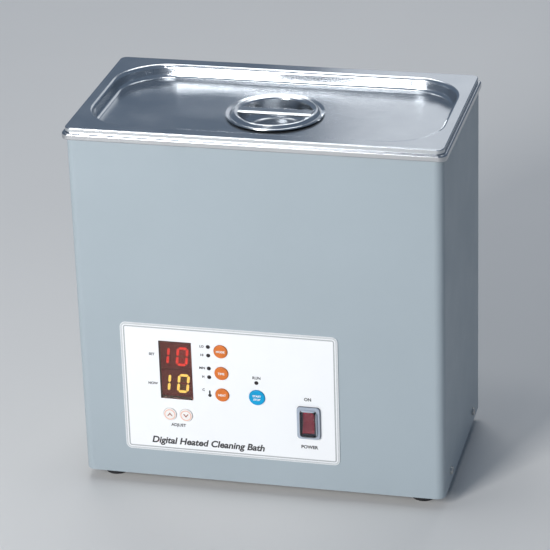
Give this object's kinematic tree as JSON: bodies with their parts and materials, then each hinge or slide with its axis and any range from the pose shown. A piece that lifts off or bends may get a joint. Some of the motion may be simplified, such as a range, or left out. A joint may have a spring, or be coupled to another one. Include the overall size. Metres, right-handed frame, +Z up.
{
  "type": "ultrasonic cleaner",
  "caption": "Bench-top ultrasonic cleaner: steel tank in a painted casing with a lift-off pan lid, digital keypad panel, rocker switch, rear fan, inlet and drain.",
  "frame": {"origin": "centre of the footprint on the surface that the feet stand on; the footprint includes the drain spigot, so the casing is centred 22.1 mm in front of it", "axes": "+Z up, X across the front with +X to the user's right, -Y towards the user"},
  "size_m": [0.325, 0.2298, 0.3313],
  "materials": {
    "stainless_steel": "bright deep-drawn stainless steel",
    "stainless_lid": "polished stainless steel with fine drawing marks",
    "painted_steel": "pale grey-blue powder coat, fine texture",
    "zinc_sheet": "zinc-plated sheet",
    "steel_screw": "bright zinc plate",
    "black_foam": "closed-cell foam",
    "rubber_foot": "matte black rubber",
    "panel_white": "satin white printed film on a carrier",
    "window_red": "dark red tinted window",
    "display_black": "dark epoxy display block",
    "circuit_board": "green solder mask",
    "black_plastic": "moulded black plastic",
    "lamp_dark": "unlit lamp lens",
    "key_orange": "orange keycap",
    "key_blue": "blue keycap",
    "key_white": "white keycap with an orange outline and arrow",
    "switch_navy": "dark navy switch housing",
    "rocker_red": "dark red translucent rocker",
    "clear_cover": "clear flexible splash cover",
    "aluminium": "machined aluminium",
    "piezo_ceramic": "fired ceramic",
    "brass": "bare brass",
    "steel_mass": "turned steel",
    "silicone_orange": "silicone rubber heater",
    "ferrite": "ferrite core and taped winding",
    "capacitor_sleeve": "shrink-sleeved capacitor",
    "inlet_black": "moulded black inlet",
    "fuse_glass": "glass tube fuse with end caps",
    "brass_drain": "nickel-plated brass",
    "lever_red": "dipped red lever"
  },
  "bodies": {
    "cabinet": {"base_plate": "zinc_sheet", "base_screws": "steel_screw", "board_spacers": "steel_screw", "casing_wrap": "painted_steel", "control_board": "circuit_board", "display_module_lower": "display_black", "display_module_upper": "display_black", "display_window": "window_red", "drain_fitting": "brass_drain", "drain_nut": "brass_drain", "drain_pipe": "brass_drain", "drain_valve_body": "brass_drain", "electrode_plates": "brass", "fan_frame": "black_plastic", "fan_guard": "steel_screw", "fan_screws": "steel_screw", "filter_capacitors": "capacitor_sleeve", "foot_front_left": "rubber_foot", "foot_front_right": "rubber_foot", "foot_rear_left": "rubber_foot", "foot_rear_right": "rubber_foot", "foot_screws": "steel_screw", "generator_board": "circuit_board", "generator_heatsink": "aluminium", "generator_standoffs": "steel_screw", "heater_pad_front": "silicone_orange", "heater_pad_rear": "silicone_orange", "indicator_lamps": "lamp_dark", "inlet_pins": "brass", "mains_inlet": "inlet_black", "output_transformer": "ferrite", "panel_overlay": "panel_white", "piezo_rings": "piezo_ceramic", "power_switch_body": "switch_navy", "power_switch_cover": "clear_cover", "power_transistors": "black_plastic", "rear_panel": "painted_steel", "rear_panel_screws": "steel_screw", "tact_switches": "black_plastic", "tank": "stainless_steel", "tank_gasket": "black_foam", "temperature_sensor": "aluminium", "transducer_back_masses": "steel_mass", "transducer_bolts": "steel_screw", "transducer_horns": "aluminium"},
    "lid": {"lid_pan": "stainless_lid", "lid_grip_cup": "stainless_lid", "lid_grip_bar": "stainless_lid"},
    "power_rocker": {"power_rocker": "rocker_red"},
    "fan_rotor": {"fan_rotor": "black_plastic"},
    "drain_lever": {"drain_plug": "brass_drain", "drain_lever": "lever_red"},
    "fuse_drawer": {"fuse_drawer": "inlet_black", "fuse": "fuse_glass"},
    "key_mode": {"key_mode": "key_orange"},
    "key_time": {"key_time": "key_orange"},
    "key_heat": {"key_heat": "key_orange"},
    "key_start": {"key_start": "key_blue"},
    "key_up": {"key_up": "key_white"},
    "key_down": {"key_down": "key_white"}
  },
  "joints": [
    {"name": "lid_lift", "type": "slide", "parent": "cabinet", "child": "lid", "axis": [0, 0, 1], "range_m": [0, 0.2]},
    {"name": "key_mode_press", "type": "slide", "parent": "cabinet", "child": "key_mode", "axis": [0, 1, 0], "range_m": [0, 0.0005], "stiffness_N_per_m": 1500},
    {"name": "key_time_press", "type": "slide", "parent": "cabinet", "child": "key_time", "axis": [0, 1, 0], "range_m": [0, 0.0005], "stiffness_N_per_m": 1500},
    {"name": "key_heat_press", "type": "slide", "parent": "cabinet", "child": "key_heat", "axis": [0, 1, 0], "range_m": [0, 0.0005], "stiffness_N_per_m": 1500},
    {"name": "key_start_press", "type": "slide", "parent": "cabinet", "child": "key_start", "axis": [0, 1, 0], "range_m": [0, 0.0005], "stiffness_N_per_m": 1500},
    {"name": "key_up_press", "type": "slide", "parent": "cabinet", "child": "key_up", "axis": [0, 1, 0], "range_m": [0, 0.0005], "stiffness_N_per_m": 1500},
    {"name": "key_down_press", "type": "slide", "parent": "cabinet", "child": "key_down", "axis": [0, 1, 0], "range_m": [0, 0.0005], "stiffness_N_per_m": 1500},
    {"name": "power_rocker_tilt", "type": "hinge", "parent": "cabinet", "child": "power_rocker", "pos_m": [0.0427, -0.1076, 0.0743], "axis": [1, 0, 0], "range_deg": [0, 14]},
    {"name": "fan_spin", "type": "hinge", "parent": "cabinet", "child": "fan_rotor", "pos_m": [0.07, 0.0569, 0.07], "axis": [0, 1, 0], "continuous": true},
    {"name": "drain_lever_turn", "type": "hinge", "parent": "cabinet", "child": "drain_lever", "pos_m": [-0.11, 0.0804, 0.075], "axis": [0, 0, 1], "range_deg": [0, 90]},
    {"name": "fuse_drawer_slide", "type": "slide", "parent": "cabinet", "child": "fuse_drawer", "axis": [0, 1, 0], "range_m": [0, 0.016]}
  ]
}
